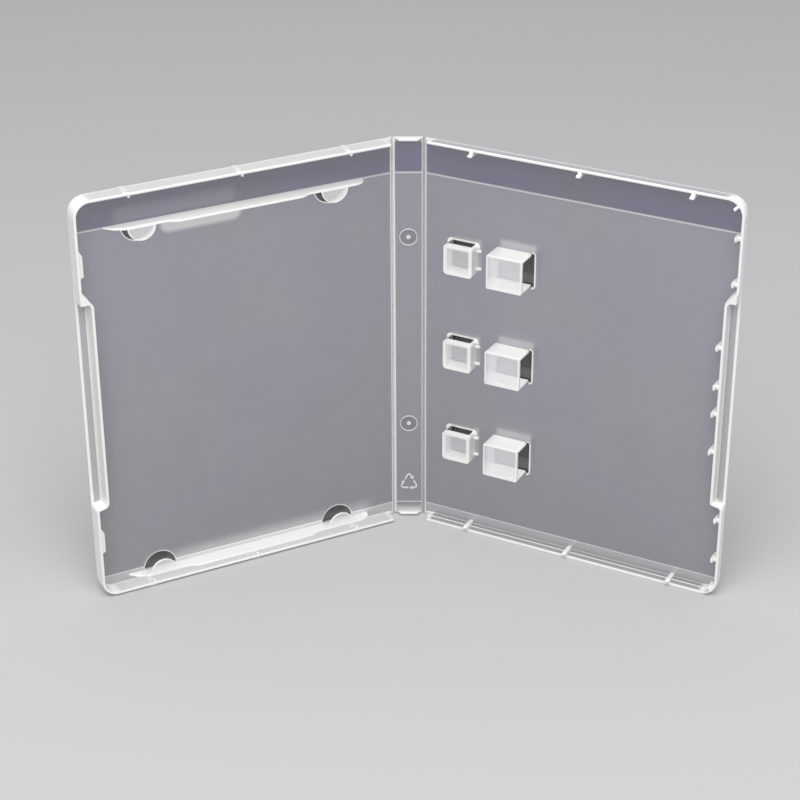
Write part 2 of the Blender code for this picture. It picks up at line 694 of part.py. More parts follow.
# Small pocket, open at the top, with a lip on its front and two feet on its side
def small_pocket(name, centre):
    low = centre - SMALL_HEIGHT / 2
    high = centre + SMALL_HEIGHT / 2
    shape = rounded(SMALL_START, SMALL_END, low, high, SMALL_CORNER)
    pocket = put(name, tray.from_face(name, [shape], SEAT, SMALL_REACH), tray_frame, clear_pocket)
    front = SMALL_REACH - SMALL_WALL
    hollow = [
        (PANEL_THICKNESS, low + SMALL_WALL),
        (front, low + SMALL_WALL),
        (front, high - SMALL_LIP_HEIGHT),
        (front - SMALL_LIP_DEPTH, high - SMALL_LIP_HEIGHT + SMALL_LIP_DEPTH),
        (front - SMALL_LIP_DEPTH, high + CUT_OVERRUN),
        (PANEL_THICKNESS, high + CUT_OVERRUN),
    ]
    inner_start = SMALL_START + SMALL_WALL
    inner_end = SMALL_END - SMALL_WALL
    middle = (inner_start + inner_end) / 2
    width = inner_end - inner_start
    cut = remap(
        prism(name + "_hollow", [hollow], -width / 2, width / 2),
        lambda u, v, w: tray.place(middle + w, u, v),
    )
    combine(pocket, cut, "DIFFERENCE", "hollow")
    feet = []
    for offset in (-SMALL_FOOT_OFFSET, SMALL_FOOT_OFFSET):
        foot = rectangle(
            SMALL_END - SMALL_WALL / 2,
            SMALL_END + SMALL_FOOT_LENGTH,
            centre + offset - SMALL_FOOT_WIDTH / 2,
            centre + offset + SMALL_FOOT_WIDTH / 2,
        )
        feet.append(tray.from_face("foot", [foot], SEAT, SEAT + SMALL_FOOT_REACH))
    combine(pocket, merged(name + "_feet", feet), "UNION", "feet")


# Large pocket, open on the side away from the hinge
def large_pocket(name, centre):
    low = centre - LARGE_HEIGHT / 2
    high = centre + LARGE_HEIGHT / 2
    shape = rounded(LARGE_START, LARGE_END, low, high, LARGE_CORNER)
    pocket = put(name, tray.from_face(name, [shape], SEAT, LARGE_REACH), tray_frame, clear_pocket)
    hollow = rectangle(
        LARGE_START + LARGE_WALL,
        LARGE_END + CUT_OVERRUN,
        low + LARGE_WALL,
        high - LARGE_WALL,
    )
    cut = tray.from_face(name + "_hollow", [hollow], PANEL_THICKNESS, LARGE_REACH - LARGE_WALL)
    combine(pocket, cut, "DIFFERENCE", "hollow")


for label, centre in pocket_rows:
    small_pocket("tray_small_pocket_" + label, centre)
    large_pocket("tray_large_pocket_" + label, centre)

tray_film = tray.from_face("tray_film", [film_outline(FILM_START)], FILM_OUTER, FILM_INNER)
put("tray_film", tray_film, tray_frame, clear_film)
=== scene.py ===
"""Looks of a clear hinged storage case for small plug-in sticks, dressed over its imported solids.

Each body of the case is modelled as it lies in its mould, in millimetres: X away from the hinge,
Y up the case and Z inward from the outer skin. It is then stood up in its place.
"""

import json
import math

import bmesh
import bpy
from mathutils import Matrix, Vector


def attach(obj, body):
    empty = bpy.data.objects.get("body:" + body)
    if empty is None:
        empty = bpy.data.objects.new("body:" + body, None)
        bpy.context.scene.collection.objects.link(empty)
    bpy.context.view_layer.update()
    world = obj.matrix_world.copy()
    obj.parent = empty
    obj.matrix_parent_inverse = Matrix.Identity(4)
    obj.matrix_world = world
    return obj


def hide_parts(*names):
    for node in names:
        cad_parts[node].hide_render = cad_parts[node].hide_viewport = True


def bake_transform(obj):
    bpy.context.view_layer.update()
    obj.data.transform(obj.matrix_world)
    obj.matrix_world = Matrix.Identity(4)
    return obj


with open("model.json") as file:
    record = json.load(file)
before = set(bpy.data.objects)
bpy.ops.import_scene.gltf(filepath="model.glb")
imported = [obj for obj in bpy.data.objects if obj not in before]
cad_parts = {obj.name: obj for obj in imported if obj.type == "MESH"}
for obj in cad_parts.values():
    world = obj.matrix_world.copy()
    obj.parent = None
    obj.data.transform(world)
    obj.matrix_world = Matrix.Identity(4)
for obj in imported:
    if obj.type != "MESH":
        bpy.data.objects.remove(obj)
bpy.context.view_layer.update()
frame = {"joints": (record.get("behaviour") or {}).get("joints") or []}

# Table, daylight and camera. A pale table runs out past the view on every side. One wide soft lamp hangs
# above and in front of the open case and pale room light fills the rest. The camera looks down into it.
MM = 0.001
OPEN_TURN = math.radians(27.4)
hinges = {joint["name"]: Vector((*joint["pos_m"][:2], 0)) for joint in frame["joints"]}

TABLE_REACH = 12
TABLE_COLOUR = (0.50, 0.50, 0.51, 1)
ROOM_COLOUR = (0.96, 0.98, 1.0, 1)
ROOM_STRENGTH = 0.62
LAMP_COLOUR = (1.0, 0.985, 0.96)
LAMP_WIDTH = 1.1
LAMP_POWER = 17
LAMP_PLACE = Vector((0.22, -0.66, 1.15))
LAMP_AIM = Vector((-0.04, 0.0, 0.08))

work = bmesh.new()
bmesh.ops.create_grid(work, x_segments=1, y_segments=1, size=TABLE_REACH)
table_mesh = bpy.data.meshes.new("table")
work.to_mesh(table_mesh)
work.free()
table = bpy.data.objects.new("table", table_mesh)
bpy.context.scene.collection.objects.link(table)
table_finish = bpy.data.materials.new("table_paint")
table_finish.use_nodes = True
table_shader = table_finish.node_tree.nodes["Principled BSDF"]
table_shader.inputs["Base Color"].default_value = TABLE_COLOUR
table_shader.inputs["Roughness"].default_value = 0.8
table_shader.inputs["Specular IOR Level"].default_value = 0.1
table_mesh.materials.append(table_finish)

room = bpy.data.worlds.new("room")
room.use_nodes = True
room_light = room.node_tree.nodes["Background"]
room_light.inputs["Color"].default_value = ROOM_COLOUR
room_light.inputs["Strength"].default_value = ROOM_STRENGTH
bpy.context.scene.world = room

lamp_light = bpy.data.lights.new("soft_lamp", "AREA")
lamp_light.shape = "SQUARE"
lamp_light.size = LAMP_WIDTH
lamp_light.energy = LAMP_POWER
lamp_light.color = LAMP_COLOUR
lamp = bpy.data.objects.new("soft_lamp", lamp_light)
lamp.location = LAMP_PLACE
lamp.rotation_euler = (LAMP_AIM - LAMP_PLACE).to_track_quat("-Z", "Y").to_euler()
bpy.context.scene.collection.objects.link(lamp)
bpy.context.scene.view_settings.view_transform = "Standard"

CAMERA_RIGHT = -2.487
CAMERA_BACK = 799.35
CAMERA_HEIGHT = 475.7
CAMERA_DIP = math.radians(28.57)
CAMERA_LENS = 97.635
CAMERA_SHIFT = (-0.02267, 0.0375)

lens = bpy.data.cameras.new("camera")
lens.lens = CAMERA_LENS
lens.sensor_width = 36
lens.shift_x, lens.shift_y = CAMERA_SHIFT
camera = bpy.data.objects.new("camera", lens)
from_hinge = Matrix.Rotation(OPEN_TURN, 3, "Z") @ Vector((CAMERA_RIGHT, -CAMERA_BACK, CAMERA_HEIGHT))
camera.location = hinges["tray_hinge"] + MM * from_hinge
camera.rotation_euler = (math.radians(90) - CAMERA_DIP, 0, OPEN_TURN)
bpy.context.scene.collection.objects.link(camera)
bpy.context.scene.camera = camera


# The three stiff bodies of the one moulding. Each is modelled flat and stood up at its own turn: the tray
# square to the table's edge, the spine turned once on the tray and the cover turned once more on the spine.
HINGE_DEPTH = 0.55
HINGE_SPACING = 12.7
LOW = 0.6
HIGH = 170.9
LENGTH = 133.8
SKIN = 1.0
WALL = 1.1
CORNER = 6.5
GROOVE = 0.8


class Body:
    """Where one body stands. side is -1 where X runs to the left of the hinge."""

    def __init__(self, hinge, turn, side, across):
        self.side = side
        self.turn = turn
        reach = Matrix.Rotation(turn, 3, "Z") @ Vector((across, HINGE_DEPTH, 0))
        self.foot = hinge + MM * reach

    def stand(self, name, work):
        """Puts flat work in its place and gives it out as an object."""
        bmesh.ops.remove_doubles(work, verts=work.verts, dist=0.004)
        if self.side < 0:
            bmesh.ops.scale(work, vec=(-1, 1, 1), verts=work.verts)
        bmesh.ops.recalc_face_normals(work, faces=work.faces)
        upright = Matrix.Rotation(self.turn, 4, "Z") @ Matrix.Rotation(math.radians(90), 4, "X")
        place = Matrix.Translation(self.foot) @ upright @ Matrix.Scale(MM, 4)
        bmesh.ops.transform(work, matrix=place, verts=work.verts)
        mesh = bpy.data.meshes.new(name)
        work.to_mesh(mesh)
        work.free()
        piece = bpy.data.objects.new(name, mesh)
        bpy.context.scene.collection.objects.link(piece)
        return piece


tray = Body(hinges["tray_hinge"], 0, 1, 0)
spine = Body(hinges["tray_hinge"], OPEN_TURN, 1, -HINGE_SPACING / 2)
cover = Body(hinges["cover_hinge"], 2 * OPEN_TURN, -1, 0)

FLAT_AREA = 6 * MM * MM


def finished(piece, finish, crease=35):
    """The piece's plastic, and smooth shading that breaks at real corners and leaves large faces flat."""
    piece.data.shade_smooth()
    piece.data.set_sharp_from_angle(angle=math.radians(crease))
    piece.data.materials.append(finish.material)
    for face in piece.data.polygons:
        face.use_smooth = face.area < FLAT_AREA


def tops(grown):
    """The new vertices of an extrusion."""
    return [item for item in grown["geom"] if isinstance(item, bmesh.types.BMVert)]


def raised(work, corners, low, high, up="Z"):
    """Thickens an outline in X and Y along Z, or one in X and Z along Y, and gives its upright edges."""
    turned = up == "Y"
    base = work.faces.new([work.verts.new((x, low, y) if turned else (x, y, low)) for x, y in corners])
    grown = bmesh.ops.extrude_face_region(work, geom=[base], use_keep_orig=True)
    top = tops(grown)
    rise = (0, high - low, 0) if turned else (0, 0, high - low)
    bmesh.ops.translate(work, vec=rise, verts=top)
    return [edge for vert in top for edge in vert.link_edges if edge.other_vert(vert) not in top]


def rectangle(near, far, low, high):
    return [(near, low), (far, low), (far, high), (near, high)]


def softened(work, edges, width, segments=3):
    return bmesh.ops.bevel(
        work, geom=list(edges), offset=width, segments=segments, profile=0.5, affect="EDGES", material=-1,
        clamp_overlap=True,
    )


def sharp_edges(work, angle=40):
    limit = math.radians(angle)
    return [edge for edge in work.edges if len(edge.link_faces) == 2 and edge.calc_face_angle() > limit]


def cut_away(work, cutter):
    """Takes one flat work away from another, both still lying in the mould."""
    holders = []
    for label, part in (("kept", work), ("cutter", cutter)):
        bmesh.ops.recalc_face_normals(part, faces=part.faces)
        mesh = bpy.data.meshes.new(label)
        part.to_mesh(mesh)
        part.free()
        holder = bpy.data.objects.new(label, mesh)
        bpy.context.scene.collection.objects.link(holder)
        holders.append(holder)
    kept, tool = holders
    change = kept.modifiers.new("cut", "BOOLEAN")
    change.operation = "DIFFERENCE"
    change.solver = "EXACT"
    change.object = tool
    graph = bpy.context.evaluated_depsgraph_get()
    result = bpy.data.meshes.new_from_object(kept.evaluated_get(graph))
    fresh = bmesh.new()
    fresh.from_mesh(result)
    for holder in holders:
        mesh = holder.data
        bpy.data.objects.remove(holder)
        bpy.data.meshes.remove(mesh)
    bpy.data.meshes.remove(result)
    return fresh


# Tray skin. The back panel is one flat millimetre of clear polypropylene, moulded with shut-off holes
# behind its six pockets, square at the hinge and round at the two outer corners.
ROWS = {"lower": 39.4, "middle": 81.5, "upper": 123.6}
ROW_PITCH = 42.1
ROWS_FROM = 20
ROWS_TO = 150
SMALL = {"start": 11.5, "end": 24.1, "height": 12.9, "reach": 6.5, "wall": 1.2, "corner": 1.5}
LARGE = {"start": 31.9, "end": 47.4, "height": 14.6, "reach": 10.0, "wall": 1.2, "corner": 0.8}
SLOT_END = 48.7
SKIN_ROUND = 0.55


def spanned(near, far, height):
    """Middle and half sizes of a box on the panel."""
    return (near + far) / 2, ((far - near) / 2, height / 2)


SMALL_MIDDLE, SMALL_HALF = spanned(SMALL["start"], SMALL["end"], SMALL["height"])
LARGE_MIDDLE, LARGE_HALF = spanned(LARGE["start"], LARGE["end"], LARGE["height"])
SLOT_MIDDLE, SLOT_HALF = spanned(LARGE["start"], SLOT_END, LARGE["height"])


def flat_skin():
    """Panel with round outer corners and softened outer edges."""
    work = bmesh.new()
    upright = raised(work, rectangle(GROOVE, LENGTH, LOW, HIGH), 0, SKIN)
    softened(work, [edge for edge in set(upright) if edge.verts[0].co.x > CORNER], CORNER, 14)
    outer = [edge for edge in sharp_edges(work) if max(vert.co.z for vert in edge.verts) < SKIN / 2]
    softened(work, outer, SKIN_ROUND, 3)
    return work


def shut_off_holes():
    """The holes behind the pockets, as one cutter that runs through the panel."""
    cutter = bmesh.new()
    for centre in ROWS.values():
        low, high = centre - SMALL["height"] / 2 + SMALL["wall"], centre + SMALL["height"] / 2
        near, far = SMALL["start"] + SMALL["wall"], SMALL["end"] - SMALL["wall"]
        softened(cutter, set(raised(cutter, rectangle(near, far, low, high), -1, SKIN + 1)), 0.4)
        low, high = centre - LARGE["height"] / 2, centre + LARGE["height"] / 2
        slot = rectangle(LARGE["start"] + LARGE["wall"], SLOT_END, low, high)
        softened(cutter, set(raised(cutter, slot, -1, SKIN + 1)), 0.6)
    return cutter


class Value:
    """A socket of a finish. Arithmetic on it adds Math nodes."""

    def __init__(self, finish, socket):
        self.finish = finish
        self.socket = socket

    def maths(self, operation, *values, clamp=False):
        settings = {"operation": operation, "use_clamp": clamp}
        return self.finish.node("ShaderNodeMath", settings, dict(enumerate(values)))

    def __add__(self, other):
        return self.maths("ADD", self, other)

    __radd__ = __add__

    def __sub__(self, other):
        return self.maths("SUBTRACT", self, other)

    def __rsub__(self, other):
        return self.maths("SUBTRACT", other, self)

    def __mul__(self, other):
        return self.maths("MULTIPLY", self, other)

    __rmul__ = __mul__

    def __abs__(self):
        return self.maths("ABSOLUTE", self)

    def root(self):
        return self.maths("SQRT", self)

    def least(self, other):
        return self.maths("MINIMUM", self, other)

    def most(self, other):
        return self.maths("MAXIMUM", self, other)

    def held(self):
        """Kept between 0 and 1."""
        return self.maths("ADD", self, 0, clamp=True)

    def wrapped(self, low, high):
        return self.maths("WRAP", self, high, low)

    def rise(self, at, soft):
        """0 below at, 1 above it, changing smoothly over soft."""
        return self.finish.node(
            "ShaderNodeMapRange",
            {"interpolation_type": "SMOOTHSTEP"},
            {"Value": self, "From Min": at - soft / 2, "From Max": at + soft / 2},
        )

    def band(self, low, high, soft):
        return self.rise(low, soft) * (1 - self.rise(high, soft))


# The plastic itself. Unpigmented polypropylene is milky where it is thin and near white along every free
# edge, where the light that travels inside it comes out. It is cast against a polished mould, so it is glossy.
MILK = (0.069, 0.066, 0.156, 1)
MILK_WARM = (0.084, 0.077, 0.122, 1)
WARM_FOOT = 0.2
WARM_FALL = 0.0022
EDGE_WHITE = (0.90, 0.895, 0.88, 1)
# Colour of painted shade, which stands in for the dark seen where nothing lies behind the clear plastic.
PAINTED_SHADE_COLOUR = (0.02, 0.019, 0.018, 1)
THIN_ALPHA = 0.62
EDGE_ALPHA = 0.94
CLOUD_SIZE = 34
FLOW_SIZE = 7
WARM_SIZE = 48
GLOSS_SIZE = 11
RIPPLE_SIZE = 22
RIPPLE_DEPTH = 0.0002
BODY_IOR = 1.75
SKIN_MIRROR = 1.8


class Finish:
    """A clear plastic whose patterns follow the flat body, in millimetres."""

    def __init__(self, name, body):
        self.material = bpy.data.materials.new(name)
        self.material.use_nodes = True
        self.tree = self.material.node_tree
        self.shader = self.tree.nodes["Principled BSDF"]
        placing = self.node("ShaderNodeTexCoord", {}, {}, "Object")
        turn = (math.radians(90), 0, body.turn)
        size = (body.side * MM, MM, MM)
        inputs = {"Vector": placing, "Location": body.foot, "Rotation": turn, "Scale": size}
        self.flat = self.node("ShaderNodeMapping", {"vector_type": "TEXTURE"}, inputs)
        parts = self.node("ShaderNodeSeparateXYZ", {}, {0: self.flat}).socket.node
        self.x, self.y, self.z = [Value(self, socket) for socket in parts.outputs]

    def node(self, kind, settings, inputs, output=0):
        """Any other node: its settings first, then its sockets' values or links."""
        made = self.tree.nodes.new(kind)
        for name, setting in settings.items():
            setattr(made, name, setting)
        for name, value in inputs.items():
            if isinstance(value, Value):
                self.tree.links.new(value.socket, made.inputs[name])
            else:
                made.inputs[name].default_value = value
        return Value(self, made.outputs[output])

    def noise(self, size, detail=2):
        """Clouding from 0 to 1 with blotches of about that size."""
        return self.node("ShaderNodeTexNoise", {}, {"Vector": self.flat, "Scale": 1 / size, "Detail": detail})

    def tint(self, share, first, second):
        """Mixes two colours."""
        return self.node("ShaderNodeMix", {"data_type": "RGBA"}, {0: share, 6: first, 7: second}, 2)

    def feed(self, name, value):
        """Sets or links one socket of the shader."""
        if isinstance(value, Value):
            self.tree.links.new(value.socket, self.shader.inputs[name])
        else:
            self.shader.inputs[name].default_value = value

    def cast(self, white, dark=0.0, alpha=(THIN_ALPHA, EDGE_ALPHA), milk=MILK, mirror=1.6):
        """Feeds the shader: white is 0 in thin plastic and 1 at edges, dark is the share of painted shade, 1
        where nothing lies behind, alpha is a pair for thin plastic and edges or one value, and mirror is the
        strength of the gloss."""
        cloud = self.noise(CLOUD_SIZE, 3) - 0.5
        flow = self.noise(FLOW_SIZE, 3) - 0.5
        shade = (white + 0.05 * cloud + 0.02 * flow).held()
        if milk is MILK:
            warm = (self.noise(WARM_SIZE, 1) + WARM_FOOT - WARM_FALL * self.y).rise(0.5, 0.4)
            milk = self.tint(warm, MILK, MILK_WARM)
        self.feed("Base Color", self.tint(dark, self.tint(shade, milk, EDGE_WHITE), PAINTED_SHADE_COLOUR))
        if isinstance(alpha, tuple):
            alpha = (alpha[0] + (alpha[1] - alpha[0]) * shade).held()
        self.feed("Alpha", alpha)
        self.feed("Roughness", 0.16 + 0.10 * self.noise(GLOSS_SIZE, 3) + 0.03 * flow)
        self.feed("IOR", BODY_IOR)
        self.feed("Coat Weight", 1.0)
        self.feed("Coat IOR", mirror)
        self.feed("Coat Roughness", 0.06)
        ripple = {"Strength": 0.15, "Distance": RIPPLE_DEPTH, "Height": 0.5 * self.noise(RIPPLE_SIZE, 2)}
        self.feed("Normal", self.node("ShaderNodeBump", {}, ripple, "Normal"))


def from_outline(finish):
    """How far a point of a half lies in from the outline of its panel, up to the corner's radius."""
    middle, half = (LOW + HIGH) / 2, (HIGH - LOW) / 2
    past_x = (finish.x - (LENGTH - CORNER)).most(0)
    past_y = (abs(finish.y - middle) - (half - CORNER)).most(0)
    return CORNER - (past_x * past_x + past_y * past_y).root()


def box_outline(across, up, half_x, half_y, corner=1.0):
    """Distance outside a rounded rectangle about a centre, negative inside."""
    out_x, out_y = abs(across) - (half_x - corner), abs(up) - (half_y - corner)
    past_x, past_y = out_x.most(0), out_y.most(0)
    return (past_x * past_x + past_y * past_y).root() + out_x.most(out_y).least(0) - corner


# The film's two welds and the thumb recess. The skins show them, and the rims and the films are made to them.
SEAM_TOP = 156.2
SEAM_LOW = 6.0
RECESS_LOW = 41.2
RECESS_HIGH = 134.2
RECESS_DEPTH = 4.3
RECESS_LOW_RUN = 0.9
RECESS_HIGH_RUN = 6.2
RECESS_WEDGE = 1.3
BEHIND_SHARE = 0.245


def film_marks(finish):
    """The film's two welds, and the milk that it adds wherever it lies behind."""
    weld = 0.62 * finish.y.band(SEAM_TOP - 0.4, SEAM_TOP + 0.35, 0.3)
    weld = weld + 0.7 * finish.y.band(SEAM_LOW - 0.25, SEAM_LOW + 0.3, 0.2)
    return weld, BEHIND_SHARE * (1 - finish.y.rise(SEAM_TOP + 0.2, 0.3))


def panel_marks(finish, foot):
    """What the skins of both halves show: their outer edge, the foot of the recess's wall, the line at the
    hinge, and the film behind them with the strip below its lower weld."""
    inward = from_outline(finish)
    edge = (1 - inward.rise(1.15, 0.5)).most(0.45 * inward.band(1.5, 2.1, 0.3))
    in_recess = finish.y.band(RECESS_LOW, RECESS_HIGH - RECESS_HIGH_RUN + RECESS_WEDGE, 1)
    wall_foot = LENGTH - RECESS_DEPTH
    foot_line = 0.9 * finish.x.band(wall_foot - 0.2, wall_foot + 0.7, 0.2)
    recess = in_recess * foot_line.most(0.46 * finish.x.rise(wall_foot, 0.3))
    hinge = 0.95 * (1 - finish.x.rise(1.15, 0.3))
    weld, behind = film_marks(finish)
    behind = behind + foot * (1 - finish.y.rise(SEAM_LOW, 0.3))
    return edge.most(recess).most(hinge).most(weld).most(behind)


def pocket_row(finish):
    """Height from the middle of the nearest row of pockets, and where along the panel there are rows."""
    row = (finish.y - ROWS["middle"]).wrapped(-ROW_PITCH / 2, ROW_PITCH / 2)
    return row, finish.y.band(ROWS_FROM, ROWS_TO, 1)


# How far the painted reflection of a pocket's sides on the glossy panel is shifted from the pocket's own
# middle.
SMALL_REFLECTION_SHIFT = (1.6, 1.9)
LARGE_REFLECTION_SHIFT = (1.95, 3.5)

tray_skin_finish = Finish("tray_skin_plastic", tray)
along = tray_skin_finish.x
row, in_rows = pocket_row(tray_skin_finish)
small_out = box_outline(along - SMALL_MIDDLE, row, *SMALL_HALF)
slot_out = box_outline(along - SLOT_MIDDLE, row, *SLOT_HALF)
slot_rim = 0.9 * (1 - slot_out.rise(0.6, 0.25)) * along.rise(SLOT_END - 1.1, 0.4)
slot_rim = slot_rim.most(0.95 * (1 - small_out.rise(0.9, 0.3)) * row.rise(4.8, 0.6))
# Painted reflection: a soft lighter patch beside each pocket stands in for the pocket's sides mirrored in the
# panel.
small_reflection_box = box_outline(along - (SMALL_MIDDLE + SMALL_REFLECTION_SHIFT[0]), row - SMALL_REFLECTION_SHIFT[1], *SMALL_HALF)
large_reflection_box = box_outline(along - (LARGE_MIDDLE + LARGE_REFLECTION_SHIFT[0]), row - LARGE_REFLECTION_SHIFT[1], *LARGE_HALF)
painted_pocket_reflections = (0.2 * (1 - large_reflection_box.rise(0, 2))).most(0.17 * (1 - small_reflection_box.rise(0, 1.6)))
pocket_rims_and_painted_reflections = in_rows * slot_rim.most(painted_pocket_reflections)
tray_skin_finish.cast(panel_marks(tray_skin_finish, 0.2) + pocket_rims_and_painted_reflections, mirror=SKIN_MIRROR)

work = cut_away(flat_skin(), shut_off_holes())
tray_skin = tray.stand("tray_back_panel", work)
finished(tray_skin, tray_skin_finish)
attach(tray_skin, "tray")
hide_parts("tray_shell")


# Rims. A wall runs round three sides of each half, square to the panel, and steps in at the fore-edge for a
# thumb recess, almost square at its lower end and on a slope at its upper end. The tray's wall jogs outward
# to a lip, on which the case stands; the cover's wall is plain.
RIM_START = 2.3
RIM_SLANT = 3.9
BEND_INSIDE = 1.6
TRAY_BEND_OUTSIDE = 0.7
COVER_BEND_OUTSIDE = 1.6


def walled(section, height, outside):
    """Sweeps a wall section, given as inset and depth, along the outer line of a half."""
    work = bmesh.new()
    corners = [work.verts.new((RIM_START - 1, LOW + inset, depth)) for inset, depth in section]
    front = corners + [work.edges.new(pair) for pair in zip(corners, corners[1:] + corners[:1])]
    heading = 0.0
    place = Vector((RIM_START - 1, LOW, 0))

    def straight(distance):
        nonlocal front, place
        step = distance * Vector((math.cos(heading), math.sin(heading), 0))
        line = [item for item in front if isinstance(item, bmesh.types.BMEdge)]
        grown = bmesh.ops.extrude_edge_only(work, edges=line)
        bmesh.ops.translate(work, vec=step, verts=tops(grown))
        front = [item for item in grown["geom"] if not isinstance(item, bmesh.types.BMFace)]
        place = place + step

    def bend(angle, radius, steps):
        nonlocal front, place, heading
        side = math.copysign(1, angle)
        centre = place + side * radius * Vector((-math.sin(heading), math.cos(heading), 0))
        grown = bmesh.ops.spin(
            work, geom=front, cent=centre, axis=(0, 0, 1), dvec=(0, 0, 0), angle=angle, steps=steps,
            use_merge=False, use_normal_flip=False, use_duplicate=False,
        )
        front = [item for item in grown["geom_last"] if not isinstance(item, bmesh.types.BMFace)]
        place = centre + Matrix.Rotation(angle, 3, "Z") @ (place - centre)
        heading += angle

    def leg(distance, *bends):
        """A straight run between corners, less what their bends take of it."""
        straight(distance - sum(radius * math.tan(turn / 2) for turn, radius in bends))

    low_turn, high_turn = (math.atan2(RECESS_DEPTH, run) for run in (RECESS_LOW_RUN, RECESS_HIGH_RUN))
    low_in, low_out = (low_turn, BEND_INSIDE), (low_turn, outside)
    high_in, high_out = (high_turn, BEND_INSIDE), (high_turn, outside)
    straight(LENGTH - CORNER - RIM_START + 1)
    bend(math.pi / 2, CORNER, 14)
    leg(RECESS_LOW - LOW - CORNER, low_in)
    bend(low_turn, BEND_INSIDE, 7)
    leg(RECESS_DEPTH / math.sin(low_turn), low_in, low_out)
    bend(-low_turn, outside, 7)
    leg(RECESS_HIGH - RECESS_HIGH_RUN - RECESS_LOW - RECESS_LOW_RUN, low_out, high_out)
    bend(-high_turn, outside, 4)
    leg(RECESS_DEPTH / math.sin(high_turn), high_out, high_in)
    bend(high_turn, BEND_INSIDE, 4)
    leg(HIGH - CORNER - RECESS_HIGH, high_in)
    bend(math.pi / 2, CORNER, 14)
    straight(LENGTH - CORNER - RIM_START + 1)
    bmesh.ops.remove_doubles(work, verts=work.verts, dist=0.004)
    slant = Vector((height - SKIN, 0, RIM_START - RIM_SLANT))
    everything = work.verts[:] + work.edges[:] + work.faces[:]
    bmesh.ops.bisect_plane(
        work, geom=everything, plane_co=(RIM_START, 0, SKIN), plane_no=-slant, clear_outer=True,
    )
    bmesh.ops.holes_fill(work, edges=work.edges)

    # A flat-ended web stands behind the sloping end of the recess.
    near = LENGTH - RECESS_DEPTH + RECESS_DEPTH / RECESS_HIGH_RUN * RECESS_WEDGE - 0.35
    low = RECESS_HIGH - RECESS_HIGH_RUN + RECESS_WEDGE
    wedge = [(near, low), (LENGTH - 0.15, low), (LENGTH - 0.15, RECESS_HIGH + 0.1)]
    before = set(work.edges)
    raised(work, wedge, SKIN - 0.03, height - 0.06)
    softened(work, set(work.edges) - before, 0.15, 2)
    return work


TRAY_HEIGHT = 6.0
LIP_START = 3.2
LIP_OUT = 0.6
tray_section = [
    (0, 0.98), (0, LIP_START - 0.25), (-0.1, LIP_START - 0.05), (-LIP_OUT + 0.15, LIP_START + 0.05),
    (-LIP_OUT, LIP_START + 0.2), (-LIP_OUT, TRAY_HEIGHT - 0.3), (-LIP_OUT + 0.1, TRAY_HEIGHT - 0.08),
    (-LIP_OUT + 0.3, TRAY_HEIGHT), (WALL - LIP_OUT - 0.25, TRAY_HEIGHT),
    (WALL - LIP_OUT - 0.06, TRAY_HEIGHT - 0.1), (WALL - LIP_OUT, TRAY_HEIGHT - 0.3),
    (WALL - LIP_OUT, LIP_START + 0.8), (WALL - 0.1, LIP_START + 0.5), (WALL, LIP_START + 0.25), (WALL, 1.2),
    (WALL + 0.15, 0.98),
]
tray_rim_finish = Finish("tray_rim_plastic", tray)
depth = tray_rim_finish.z
# Painted light: fore marks the fore-edge, where the wall is painted near white as a painted glow of the light
# passing through it.
fore = tray_rim_finish.x.rise(LENGTH - CORNER, 4)
jog = 0.9 * depth.band(3.1, 3.7, 0.2)
free_edge = 0.98 * depth.rise(5.3, 0.3)
foot = (0.55 * (1 - depth.rise(1.3, 0.3))).most(0.95 * fore * (1 - depth.rise(1.5, 0.3)))
ends = 0.85 * (1 - tray_rim_finish.x.rise(5.5, 1.5))
faces = 0.22 + 0.14 * depth.rise(3.4, 0.3) + 0.78 * fore
tray_rim_finish.cast(faces.most(jog).most(free_edge).most(foot).most(ends), alpha=(0.5, 0.93))
tray_rim = tray.stand("tray_rim_wall", walled(tray_section, TRAY_HEIGHT, TRAY_BEND_OUTSIDE))
finished(tray_rim, tray_rim_finish)
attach(tray_rim, "tray")
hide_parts("tray_shell")


# Locating nubs. Short ridges cross the inner face of the tray's wall and stand past its edge, so that they
# slide inside the cover's wall when the case shuts. They are cast with the wall and look solid white.
NUB_WIDTH = 1.8
NUB_SHAPE = [
    (-0.55, 3.45), (-0.55, 5.95), (1.22, 6.1), (1.3, 7.2), (1.9, 7.8), (2.4, 7.4), (2.6, 6.0), (2.6, 0.9),
    (0.4, 0.9), (0.4, 3.45),
]
CORNER_NUB = 0.65
CORNER_NUB_INSET = 0.45
NUBS_ALONG = (22.9, 68.4, 113.9)
NUBS = [((along, LOW), 0) for along in NUBS_ALONG] + [((along, HIGH), 180) for along in NUBS_ALONG]
NUBS += [((LENGTH, up), 90) for up in (17.5, 35.5, 137.6, 156.1)]
NUBS += [((LENGTH - RECESS_DEPTH, up), 90) for up in (65.4, 82.0, 93.7, 110.3)]
shift = CORNER * (1 - math.sqrt(0.5))
NUBS += [((LENGTH - shift, LOW + shift), 45), ((LENGTH - shift, HIGH - shift), 135)]

